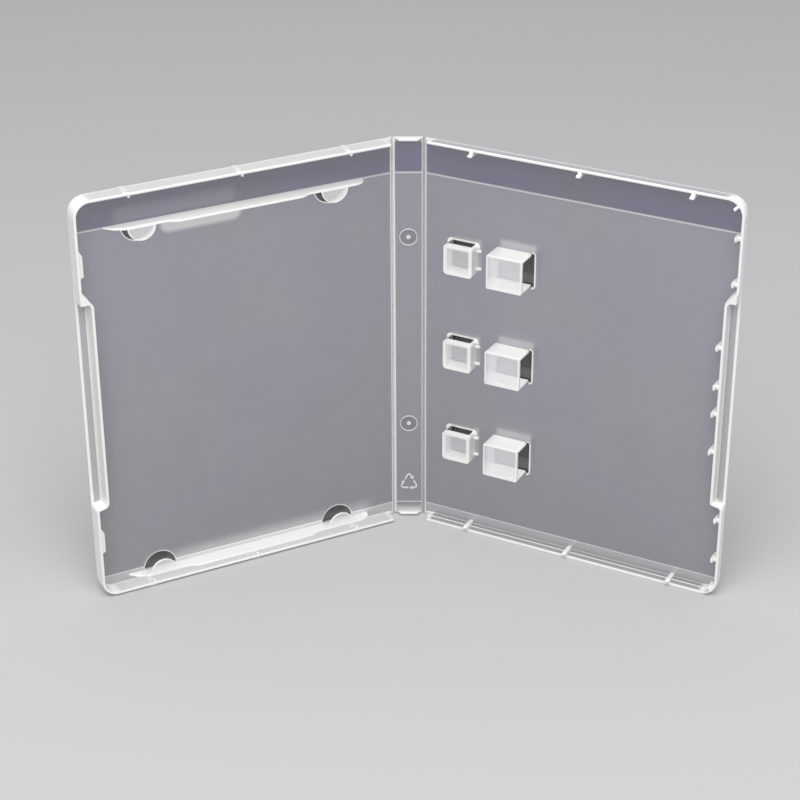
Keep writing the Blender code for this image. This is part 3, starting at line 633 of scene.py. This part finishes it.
work = bmesh.new()
for foot, turn in NUBS:
    base = work.faces.new([work.verts.new((-NUB_WIDTH / 2, inset, depth)) for inset, depth in NUB_SHAPE])
    grown = bmesh.ops.extrude_face_region(work, geom=[base], use_keep_orig=True)
    bmesh.ops.translate(work, vec=(NUB_WIDTH, 0, 0), verts=tops(grown))
    nub = tops(grown) + list(base.verts)
    made = softened(work, {edge for vert in nub for edge in vert.link_edges}, 0.28, 2)
    nub = set(made["verts"]) | {vert for vert in nub if vert.is_valid}
    place = Matrix.Translation((*foot, 0)) @ Matrix.Rotation(math.radians(turn), 4, "Z")
    if turn in (45, 135):
        smaller = Matrix.Diagonal((CORNER_NUB, CORNER_NUB, 1, 1))
        place = place @ Matrix.Translation((0, CORNER_NUB_INSET, 0)) @ smaller
    bmesh.ops.transform(work, matrix=place, verts=list(nub))
nub_finish = Finish("tray_nub_plastic", tray)
nub_finish.cast(0.9 + 0.1 * nub_finish.noise(0.8), alpha=(0.8, 0.97))
nubs = tray.stand("tray_nubs", work)
finished(nubs, nub_finish)
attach(nubs, "tray")
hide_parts("tray_shell")


# Small pockets. Each is a rounded box with its mouth upward, cast on the panel round a shut-off hole. Its
# thin front is a milky window in a white frame, and two little feet brace it on the fore-edge's side.
SMALL_LIP = 1.4
SMALL_LIP_DEPTH = 0.6
FOOT_LENGTH = 1.7
FOOT_SPREAD = 3.8
FOOT_HALF = 0.55
POCKET_MILK = (0.86, 0.86, 0.90, 1)


def pocket_finish(name, middle, half, reach, frame_width, thin_alpha, mouth_painted_shade):
    """White frame and walls, with a thin window in the front and painted shade just inside the opening."""
    finish = Finish(name, tray)
    across, up = finish.x - middle[0], finish.y - middle[1]
    out = box_outline(across, up, half[0] - frame_width, half[1] - frame_width, 0.4)
    window = (1 - out.rise(0, 0.35)) * finish.z.rise(reach - 1.5, 0.3)
    wall = 1.0 - 0.12 * finish.z.band(1.6, reach - 1.2, 1.2)
    inner = 1 - abs(across).rise(half[0] - SMALL["wall"] + 0.1, 0.1)
    # Painted shade: the inner faces of the walls are darkened near the open top, where shade falls into the
    # pocket.
    mouth_shade = mouth_painted_shade * inner * up.rise(half[1] - 3, 0.6) * (1 - finish.z.rise(reach - 1.9, 0.3))
    finish.cast(wall * (1 - window), dark=mouth_shade, alpha=(thin_alpha, 0.85), milk=POCKET_MILK)
    return finish


for label, centre in ROWS.items():
    low, high = centre - SMALL["height"] / 2, centre + SMALL["height"] / 2
    near, far, front = SMALL["start"], SMALL["end"], SMALL["reach"] - SMALL["wall"]
    box = bmesh.new()
    softened(box, raised(box, rectangle(near, far, low, high), 0.6, SMALL["reach"]), SMALL["corner"], 6)
    inner = (near + SMALL["wall"], far - SMALL["wall"], low + SMALL["wall"])
    for top, deep in ((high - SMALL_LIP, front), (high + 1, front - SMALL_LIP_DEPTH)):
        hollow = bmesh.new()
        softened(hollow, raised(hollow, rectangle(*inner, top), -0.5, deep), 0.5, 2)
        box = cut_away(box, hollow)
    softened(box, sharp_edges(box, 50), 0.22, 3)
    for side in (-FOOT_SPREAD, FOOT_SPREAD):
        foot = rectangle(far - 0.6, far + FOOT_LENGTH, 0.7, 2.1)
        foot[2] = (far + FOOT_LENGTH, 1.5)
        before = set(box.edges)
        raised(box, foot, centre + side - FOOT_HALF, centre + side + FOOT_HALF, "Y")
        softened(box, set(box.edges) - before, 0.25, 2)
    pocket = tray.stand("small_pocket_" + label, box)
    finish = pocket_finish(
        "small_pocket_plastic_" + label, (SMALL_MIDDLE, centre), SMALL_HALF, SMALL["reach"],
        frame_width=1.6, thin_alpha=0.32, mouth_painted_shade=0.85,
    )
    finished(pocket, finish)
    pocket.visible_shadow = False
    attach(pocket, "tray")
    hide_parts("tray_small_pocket_" + label)


# Large pockets. Deeper square boxes with their mouths toward the fore-edge, cast in the same way. The thin
# front shows the bright inner faces of the floor and of the wall beside the hinge through it.
for label, centre in ROWS.items():
    low, high = centre - LARGE["height"] / 2, centre + LARGE["height"] / 2
    near, far, front = LARGE["start"], LARGE["end"], LARGE["reach"] - LARGE["wall"]
    box = bmesh.new()
    softened(box, raised(box, rectangle(near, far, low, high), 0.6, LARGE["reach"]), LARGE["corner"], 4)
    hollow = bmesh.new()
    opening = rectangle(near + LARGE["wall"], far + 1, low + LARGE["wall"], high - LARGE["wall"])
    softened(hollow, raised(hollow, opening, -0.5, front), 0.4, 2)
    box = cut_away(box, hollow)
    softened(box, sharp_edges(box, 50), 0.25, 3)
    pocket = tray.stand("large_pocket_" + label, box)
    finish = pocket_finish(
        "large_pocket_plastic_" + label, (LARGE_MIDDLE, centre), LARGE_HALF, LARGE["reach"],
        frame_width=0.75, thin_alpha=0.42, mouth_painted_shade=0,
    )
    finished(pocket, finish)
    pocket.visible_shadow = False
    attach(pocket, "tray")
    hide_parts("tray_large_pocket_" + label)


# Spine. A narrow strip of the same moulding, with an upright tongue at each end that nests between the
# walls of the two halves, two round gate marks left by the mould, and a small triangle of three arrows.
SPINE_HALF = HINGE_SPACING / 2 - GROOVE
TONGUE_INSET = 0.02
TONGUE_THICK = 1.0
TONGUE_SHAPE = [(-5.3, 0.7), (5.3, 0.7), (3.6, 3.1), (-3.6, 3.1)]
GATES = (43.9, 128.5)
GATE_RADIUS = 3.7
GATE_RING = [(GATE_RADIUS - back, rise) for back, rise in ((0, 0.9), (0.05, 1.2), (0.3, 1.26), (0.5, 0.9))]
GATE_DOME = [(0.95, 0.9), (0.9, 1.15), (0.6, 1.3), (0, 1.36)]
TRIANGLE_HEIGHT = 15.4
TRIANGLE_STRETCH = 1.15
ARROW_THICK = 0.3
ARROW_LIFT = 0.92
ARROW = [
    (-2.04, 1.52), (-1.06, 3.22), (-0.45, 3.82), (0.45, 3.82), (1.06, 3.22), (1.4, 2.63), (1.85, 2.88),
    (2.05, 1.2), (0.4, 2.05), (0.8, 2.28), (0.42, 2.94), (0.2, 3.14), (-0.2, 3.14), (-0.42, 2.94),
    (-1.42, 1.16),
]

work = bmesh.new()
raised(work, rectangle(-SPINE_HALF, SPINE_HALF, LOW, HIGH), 0, SKIN)
softened(work, sharp_edges(work), 0.2, 2)
for base in (LOW + TONGUE_INSET, HIGH - TONGUE_INSET - TONGUE_THICK):
    before = set(work.edges)
    raised(work, TONGUE_SHAPE, base, base + TONGUE_THICK, "Y")
    softened(work, set(work.edges) - before, 0.28, 3)
spine_finish = Finish("spine_plastic", spine)
end_line = 0.95 * abs(spine_finish.x).rise(SPINE_HALF - 0.25, 0.25)
tongue = 0.9 * spine_finish.z.rise(1.15, 0.2)
spine_weld, spine_behind = film_marks(spine_finish)
spine_behind = spine_behind + 0.4 * (1 - spine_finish.y.rise(3.6, 3))
top_end = 0.5 * spine_finish.y.rise(HIGH - 1.6, 0.3) + 0.45 * spine_finish.y.rise(HIGH - 0.5, 0.3)
low_end = 0.85 * (1 - spine_finish.y.rise(LOW + 0.5, 0.3))
from_gate = abs(spine_finish.y - GATES[0]).least(abs(spine_finish.y - GATES[1]))
from_gate = (spine_finish.x * spine_finish.x + from_gate * from_gate).root()
# Painted shade: the spine is darkened in a round dish under each gate mark.
painted_gate_shade = 0.35 * (1 - from_gate.rise(GATE_RADIUS - 0.3, 0.2))
marks = end_line.most(tongue).most(spine_weld).most(spine_behind).most(top_end).most(low_end)
spine_finish.cast(marks, dark=painted_gate_shade, mirror=SKIN_MIRROR)
strip = spine.stand("spine_strip", work)
finished(strip, spine_finish)
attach(strip, "spine")
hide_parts("spine_shell")

mark_finish = Finish("mark_plastic", spine)
mark_finish.cast(0.75 + 0.2 * mark_finish.noise(0.7), alpha=(0.6, 0.9))
for label, height in zip(("lower", "upper"), GATES):
    work = bmesh.new()
    for profile, closed in ((GATE_RING, True), (GATE_DOME, False)):
        points = [work.verts.new((radius, 0, rise)) for radius, rise in profile]
        pairs = list(zip(points, points[1:])) + ([(points[-1], points[0])] if closed else [])
        edges = [work.edges.new(pair) for pair in pairs]
        bmesh.ops.spin(
            work, geom=points + edges, cent=(0, 0, 0), axis=(0, 0, 1), dvec=(0, 0, 0), angle=2 * math.pi,
            steps=48, use_merge=True, use_normal_flip=False, use_duplicate=False,
        )
    bmesh.ops.remove_doubles(work, verts=work.verts, dist=0.004)
    bmesh.ops.holes_fill(work, edges=[edge for edge in work.edges if edge.is_boundary])
    bmesh.ops.translate(work, vec=(0, height, 0), verts=work.verts)
    gate = spine.stand("gate_mark_" + label, work)
    finished(gate, mark_finish)
    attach(gate, "spine")
    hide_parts("spine_gate_mark_" + label)

work = bmesh.new()
for turn in range(3):
    before = set(work.verts)
    raised(work, ARROW, 0, ARROW_THICK)
    arrow = [vert for vert in work.verts if vert not in before]
    third = Matrix.Rotation(turn * 2 * math.pi / 3, 3, "Z")
    bmesh.ops.rotate(work, verts=arrow, cent=(0, 0, 0), matrix=third)
bmesh.ops.scale(work, vec=(1, TRIANGLE_STRETCH, 1), verts=work.verts)
softened(work, sharp_edges(work), 0.09, 2)
bmesh.ops.translate(work, vec=(0, TRIANGLE_HEIGHT, ARROW_LIFT), verts=work.verts)
triangle = spine.stand("triangle_mark", work)
finished(triangle, mark_finish)
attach(triangle, "spine")
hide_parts("spine_triangle_mark")


# Living hinges. Between two stiff parts the moulding thins to a web of less than half a millimetre, which
# bends about its own axis. Each is a curved strip, bent from the turn of one neighbour to the turn of the
# other.
WEB_HALF = 1.05
WEB_THIN = 0.36
WEB_BEND = 0.8


def hinge_web(name, body, sense):
    """A strip over a hinge axis at X 0 of a body, already bent the way the open case bends it."""
    work = bmesh.new()
    bmesh.ops.create_grid(work, x_segments=18, y_segments=24, size=1)
    size = (WEB_HALF, (HIGH - LOW) / 2, 1)
    bmesh.ops.scale(work, vec=size, verts=work.verts)
    bmesh.ops.translate(work, vec=(0, (LOW + HIGH) / 2, HINGE_DEPTH - WEB_THIN / 2), verts=work.verts)
    grown = bmesh.ops.extrude_face_region(work, geom=work.faces[:], use_keep_orig=True)
    bmesh.ops.translate(work, vec=(0, 0, WEB_THIN), verts=tops(grown))
    for vert in work.verts:
        share = min(max(0.5 - vert.co.x / (2 * WEB_BEND), 0), 1)
        share = share * share * (3 - 2 * share)
        turn = Matrix.Rotation(sense * OPEN_TURN * share, 3, "Y")
        pivot = Vector((0, vert.co.y, HINGE_DEPTH))
        vert.co = pivot + turn @ (vert.co - pivot)
    return body.stand(name, work)


def web_plastic(name, body, base):
    """Whiter along both sides of the web, where it thickens."""
    finish = Finish(name, body)
    sides = 0.45 * abs(finish.x).rise(0.6, 0.3)
    finish.cast(base + 0.25 * finish.noise(2.5, 3) + sides, alpha=(0.6, 0.92))
    return finish


tray_web = hinge_web("tray_side_web", tray, -1)
finished(tray_web, web_plastic("tray_web_plastic", tray, 0.35), 60)
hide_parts("tray_hinge_web")
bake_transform(tray_web)

beside_cover = Body(hinges["cover_hinge"], OPEN_TURN, 1, 0)
cover_web = hinge_web("cover_side_web", beside_cover, -1)
finished(cover_web, web_plastic("cover_web_plastic", beside_cover, 0.55), 60)
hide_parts("cover_hinge_web")
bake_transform(cover_web)


# Cover skin and rim. The front half is a mirror image of the tray's panel without its pockets. Four
# half-round holes shut off the mould under the clip tabs, and low ribs stiffen its upper and lower walls.
TAB_CENTRES = (27.35, 106.95)
CLIP_LOWER_FACE = 4.6
CLIP_UPPER_FACE = 155.6
TAB_RADIUS = 5.7
TAB_HOLE = 6.8
COVER_HEIGHT = 7.6
RIBS_ALONG = (21.7, 67.2, 112.7)
RIB_HALF = 1.3
RIB_PROUD = 0.35


def half_disc(work, centre, radius, low, high, upward):
    """The upper or the lower half of a round disc."""
    before = set(work.edges)
    start = work.verts.new((centre[0] + radius, centre[1], low))
    turned = bmesh.ops.spin(
        work, geom=[start], cent=(*centre, low), axis=(0, 0, 1), dvec=(0, 0, 0), steps=36,
        angle=math.pi if upward else -math.pi, use_merge=False, use_normal_flip=False, use_duplicate=False,
    )
    last = [item for item in turned["geom_last"] if isinstance(item, bmesh.types.BMVert)][0]
    work.edges.new((last, start))
    base = bmesh.ops.contextual_create(work, geom=list(set(work.edges) - before))["faces"]
    grown = bmesh.ops.extrude_face_region(work, geom=base, use_keep_orig=True)
    bmesh.ops.translate(work, vec=(0, 0, high - low), verts=tops(grown))


cutter = bmesh.new()
for across in TAB_CENTRES:
    half_disc(cutter, (across, CLIP_LOWER_FACE), TAB_HOLE, -1, SKIN + 1, True)
    half_disc(cutter, (across, CLIP_UPPER_FACE), TAB_HOLE, -1, SKIN + 1, False)


def tab_distance(finish):
    """Distance from the middle of the nearest clip tab."""
    across = abs(finish.x - TAB_CENTRES[0]).least(abs(finish.x - TAB_CENTRES[1]))
    up = abs(finish.y - CLIP_LOWER_FACE).least(abs(finish.y - CLIP_UPPER_FACE))
    return (across * across + up * up).root()


cover_skin_finish = Finish("cover_skin_plastic", cover)
along, up = cover_skin_finish.x, cover_skin_finish.y
inside_clips = up.band(CLIP_LOWER_FACE - 0.2, CLIP_UPPER_FACE + 0.2, 0.1)
tab_rim = 0.9 * inside_clips * tab_distance(cover_skin_finish).band(TAB_HOLE - 0.4, TAB_HOLE + 0.4, 0.25)
# Painted light: a soft lighter wedge below the upper clip, and painted reflections of the clip plates above
# the upper plate and above the lower plate.
under_clip = box_outline(along - 81.5, up - 153.5, half_x=17, half_y=4.4, corner=4)
over_clip = box_outline(along - 92, up - 160, half_x=24, half_y=2.5, corner=2)
clip_painted_light = 0.4 * (CLIP_UPPER_FACE - up).rise(0, 0.5) * (1 - under_clip.rise(-0.5, 2.4))
clip_painted_light = clip_painted_light.most(0.12 * (1 - over_clip.rise(0.5, 3.5)))
above_clip = up - CLIP_LOWER_FACE
low_clip_painted_reflection = 0.22 * along.band(12, 112, 8) * above_clip.rise(0, 0.5) * (1 - above_clip.rise(5, 6))
marks = panel_marks(cover_skin_finish, 0.28) + clip_painted_light.most(low_clip_painted_reflection)
cover_skin_finish.cast(marks.most(tab_rim), mirror=SKIN_MIRROR)
cover_skin = cover.stand("cover_front_panel", cut_away(flat_skin(), cutter))
finished(cover_skin, cover_skin_finish)
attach(cover_skin, "cover")
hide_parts("cover_shell")

cover_section = [
    (0, 0.98), (0, COVER_HEIGHT - 0.35), (0.09, COVER_HEIGHT - 0.1), (0.32, COVER_HEIGHT),
    (WALL - 0.32, COVER_HEIGHT), (WALL - 0.09, COVER_HEIGHT - 0.1), (WALL, COVER_HEIGHT - 0.35), (WALL, 1.2),
    (WALL + 0.15, 0.98),
]
cover_rim_finish = Finish("cover_rim_plastic", cover)
depth = cover_rim_finish.z
# Painted light: fore marks the fore-edge, where the wall is painted whiter as a painted glow of the light
# passing through it.
fore = cover_rim_finish.x.rise(LENGTH - CORNER, 4)
ends = 0.85 * (1 - cover_rim_finish.x.rise(5.5, 1.5))
lines = (0.98 * depth.rise(6.9, 0.8)).most(0.9 * (1 - depth.rise(1.3, 0.3)))
cover_rim_finish.cast((0.74 + 0.26 * fore).most(lines).most(ends), alpha=(0.55, 0.95))
cover_rim = cover.stand("cover_rim_wall", walled(cover_section, COVER_HEIGHT, COVER_BEND_OUTSIDE))
finished(cover_rim, cover_rim_finish)
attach(cover_rim, "cover")
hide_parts("cover_shell")

# A rib is a band outside the wall, a band inside it and a narrow stub at its free edge. Each is given by its
# right side, its two faces and its depths.
RIB_PARTS = (
    (RIB_HALF, -RIB_PROUD, 0.6, 0.35, 7.25),
    (RIB_HALF, 0.5, WALL + RIB_PROUD, 0.9, 5.2),
    (-0.3, -RIB_PROUD, WALL + 0.9, 6.2, 7.5),
)
work = bmesh.new()
for along in RIBS_ALONG:
    for foot, inward in ((LOW, 1), (HIGH, -1)):
        for right, near, far, low, high in RIB_PARTS:
            before = set(work.edges)
            spread = sorted((foot + inward * near, foot + inward * far))
            raised(work, rectangle(along - RIB_HALF, along + right, *spread), low, high)
            softened(work, set(work.edges) - before, 0.24, 2)
rib_finish = Finish("cover_rib_plastic", cover)
rib_finish.cast(0.8 + 0.1 * rib_finish.noise(1.2) + 0.15 * rib_finish.z.rise(6.6, 0.6), alpha=(0.55, 0.95))
ribs = cover.stand("cover_ribs", work)
finished(ribs, rib_finish)
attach(ribs, "cover")
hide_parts("cover_shell")


# Booklet clips. A thin plate stands square to the panel near the upper and the lower wall, higher in its
# middle. Two half-round tabs on its free edge hold a leaflet, and its cut-like edge shines white.
CLIP_START = 13.3
CLIP_END = 121.0
CLIP_LOW = 5.7
CLIP_HIGH = 7.5
CLIP_THIN = 0.9
CLIP_RISE = (37.5, 42.0)
CLIP_FALL = (92.3, 96.8)
TAB_ROOT = 0.3


def clip_shape():
    """Free edge and root of a plate, in X and Z."""
    start, end, rise, fall = CLIP_START, CLIP_END, CLIP_RISE, CLIP_FALL
    return [
        (start, 0.7), (start + 0.3, 2.6), (start + 1.2, 4.2), (start + 2.6, 5.2), (start + 4.5, CLIP_LOW),
        (rise[0], CLIP_LOW), (rise[0] + 1.6, CLIP_LOW + 0.5), (rise[1] - 1.6, CLIP_HIGH - 0.5),
        (rise[1], CLIP_HIGH), (fall[0], CLIP_HIGH), (fall[0] + 1.6, CLIP_HIGH - 0.5),
        (fall[1] - 1.6, CLIP_LOW + 0.5), (fall[1], CLIP_LOW), (end - 7.5, CLIP_LOW), (end - 3.75, 4.2),
        (end, 0.7),
    ]


clip_finish = Finish("booklet_clip_plastic", cover)
level = clip_finish.x.band(sum(CLIP_RISE) / 2, sum(CLIP_FALL) / 2, 4.5)
free_edge = (clip_finish.z - CLIP_LOW - (CLIP_HIGH - CLIP_LOW) * level).rise(-0.45, 0.35)
flat_white = 0.5 + 0.46 * clip_finish.y.rise(80, 1)
tab_edge = 0.95 * tab_distance(clip_finish).rise(TAB_RADIUS - 0.55, 0.3)
on_tab = clip_finish.y.band(CLIP_LOWER_FACE + 0.05, CLIP_UPPER_FACE - 0.05, 0.05)
ends = 0.85 * (1 - clip_finish.x.band(CLIP_START + 3.5, CLIP_END - 6, 3))
clip_white = (free_edge.most(flat_white) * (1 - on_tab)).most(tab_edge * on_tab).most(ends)
clip_finish.cast(clip_white, alpha=(0.4, 0.95), milk=POCKET_MILK)
for label, low, edge, upward in (
    ("lower", CLIP_LOWER_FACE - CLIP_THIN, CLIP_LOWER_FACE, True),
    ("upper", CLIP_UPPER_FACE, CLIP_UPPER_FACE, False),
):
    work = bmesh.new()
    raised(work, clip_shape(), low, low + CLIP_THIN, "Y")
    softened(work, sharp_edges(work, 50), 0.2, 3)
    tabs = bmesh.new()
    for across in TAB_CENTRES:
        root = edge - TAB_ROOT if upward else edge + TAB_ROOT
        half_disc(tabs, (across, root), TAB_RADIUS, CLIP_LOW - CLIP_THIN, CLIP_LOW, upward)
    softened(tabs, sharp_edges(tabs, 60), 0.2, 2)
    tab_mesh = bpy.data.meshes.new("tabs")
    tabs.to_mesh(tab_mesh)
    tabs.free()
    work.from_mesh(tab_mesh)
    bpy.data.meshes.remove(tab_mesh)
    clip = cover.stand("booklet_clip_" + label, work)
    finished(clip, clip_finish)
    clip.visible_shadow = False
    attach(clip, "cover")
    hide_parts("cover_" + label + "_clip")


# Catches. Two low ramps on the inner face of the cover's fore-edge wall snap over the tray's lip. They are
# solid and look white.
CATCHES = {"lower": 26.8, "upper": 146.1}
CATCH_HALF = 6.1
CATCH_ROOT = 0.3
CATCH_PROUD = 1.7
CATCH_DEPTHS = (5.0, 7.2)

catch_finish = Finish("catch_plastic", cover)
catch_finish.cast(0.9 + 0.08 * catch_finish.noise(1.5), alpha=(0.8, 0.97))
for label, centre in CATCHES.items():
    root = LENGTH - WALL + CATCH_ROOT
    tip = root - CATCH_PROUD
    low, high = centre - CATCH_HALF, centre + CATCH_HALF
    work = bmesh.new()
    raised(work, [(root, low), (root, high), (tip, high - 3.0), (tip, low + 0.8)], *CATCH_DEPTHS)
    softened(work, sharp_edges(work, 20), 0.35, 3)
    catch = cover.stand("catch_" + label, work)
    finished(catch, catch_finish)
    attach(catch, "cover")
    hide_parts("cover_catch_" + label)


# Sleeve films. A thin clear film is welded over the outer skin of each part, closed at its foot and open at
# the top, with a narrow pressed seam round it. Through the shut-off holes it is all that lies behind, and
# there it is painted dark as painted shade.
FILM_NEAR = -0.02
FILM_FAR = -0.2
FILM_INSET = 1.2
FILM_ROUND = 5.0
FILM_ALPHA = 0.12
SEAM_WIDTH = 0.9
SEAM_PROUD = 0.08


def film(near, far, round_corner):
    """A flat film with a seam that stands a little proud of its outer face."""
    work = bmesh.new()
    upright = raised(work, rectangle(near, far, LOW + FILM_INSET, SEAM_TOP), FILM_FAR, FILM_NEAR)
    if round_corner:
        corner = [edge for edge in upright if edge.verts[0].co.x > near + 1 and edge.verts[0].co.y < CORNER]
        softened(work, corner, FILM_ROUND, 12)
    bmesh.ops.recalc_face_normals(work, faces=work.faces)
    outer = [face for face in work.faces if face.normal.z < -0.9]
    bmesh.ops.inset_region(work, faces=outer, thickness=SEAM_WIDTH, use_even_offset=True)
    inner = list({vert for face in outer for vert in face.verts})
    bmesh.ops.translate(work, vec=(0, 0, SEAM_PROUD), verts=inner)
    return work


def film_finish(name, body, hole, near, far):
    """Clear film with paler seams and painted shade. hole gives where the shut-off holes of its half lie in
    front of it, and there the film is painted dark.
    """
    finish = Finish(name, body)
    from_sides = (finish.x - near).least(far - finish.x)
    from_edge = from_sides.least(finish.y - LOW - FILM_INSET)
    seam = 0.5 * (1 - from_edge.rise(SEAM_WIDTH, 0.3))
    seam = seam.most(0.5 * finish.y.rise(SEAM_TOP - SEAM_WIDTH, 0.3))
    seam = seam.most(0.4 * finish.y.band(SEAM_LOW - 0.3, SEAM_LOW + 0.3, 0.2))
    painted_hole_shade = hole(finish) if hole else 0
    alpha = (FILM_ALPHA + 0.35 * seam + painted_hole_shade).held()
    finish.cast(seam * (1 - painted_hole_shade), dark=painted_hole_shade, alpha=alpha)
    return finish


def pocket_shadow(finish):
    """Painted shade on the tray's film, where the holes behind the pockets lie in front of it."""
    row, in_rows = pocket_row(finish)
    small = 1 - box_outline(finish.x - SMALL_MIDDLE, row - SMALL["wall"] / 2, 5.4, 6.1).rise(0.3, 0.2)
    large = 1 - box_outline(finish.x - (SLOT_MIDDLE + LARGE["wall"] / 2), row, 8.0, 7.5).rise(0.3, 0.2)
    return small.most(large) * in_rows


def tab_shadow(finish):
    """Painted shade on the cover's film, under the holes of the clip tabs."""
    inside_clips = finish.y.band(CLIP_LOWER_FACE - 0.3, CLIP_UPPER_FACE + 0.3, 0.1)
    return inside_clips * (1 - tab_distance(finish).rise(TAB_HOLE + 0.3, 0.2))


FILM_START = GROOVE + FILM_INSET
FILM_END = LENGTH - FILM_INSET
STRIP_HALF = SPINE_HALF - FILM_INSET
for name, body, rides, hole, near, far, rounded in (
    ("tray_sleeve_film", tray, "tray", pocket_shadow, FILM_START, FILM_END, True),
    ("cover_sleeve_film", cover, "cover", tab_shadow, FILM_START, FILM_END, True),
    ("spine_sleeve_film", spine, "spine", None, -STRIP_HALF, STRIP_HALF, False),
):
    sleeve = body.stand(name, film(near, far, rounded))
    finished(sleeve, film_finish(name + "_plastic", body, hole, near, far))
    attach(sleeve, rides)
    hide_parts(rides + "_film")


bpy.context.view_layer.update()
